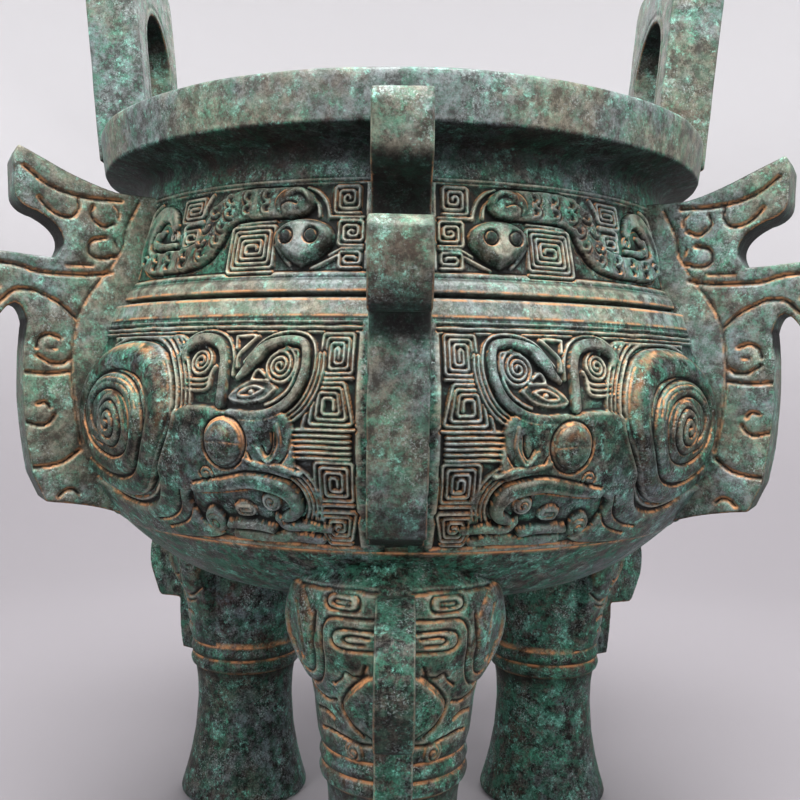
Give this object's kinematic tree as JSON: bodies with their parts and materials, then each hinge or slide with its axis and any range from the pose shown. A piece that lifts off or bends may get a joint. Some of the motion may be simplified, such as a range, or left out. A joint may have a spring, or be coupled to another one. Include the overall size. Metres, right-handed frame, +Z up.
{
  "type": "ding vessel",
  "caption": "Round bellied bronze cauldron on column legs, with upright loop handles on the rim, beaked flanges and beast relief.",
  "frame": {"origin": "on the ground under the middle of the vessel's outline, which is the vessel's axis from side to side and from front to back", "axes": "+Z up along the vessel's axis, +X towards one handle, -Y towards the leg that faces the viewer"},
  "size_m": [0.3198, 0.3592, 0.3877],
  "materials": {
    "patinated_bronze": "dark cast bronze with green and earth patina"
  },
  "bodies": {
    "root": {"ding_vessel": "patinated_bronze"}
  },
  "joints": []
}
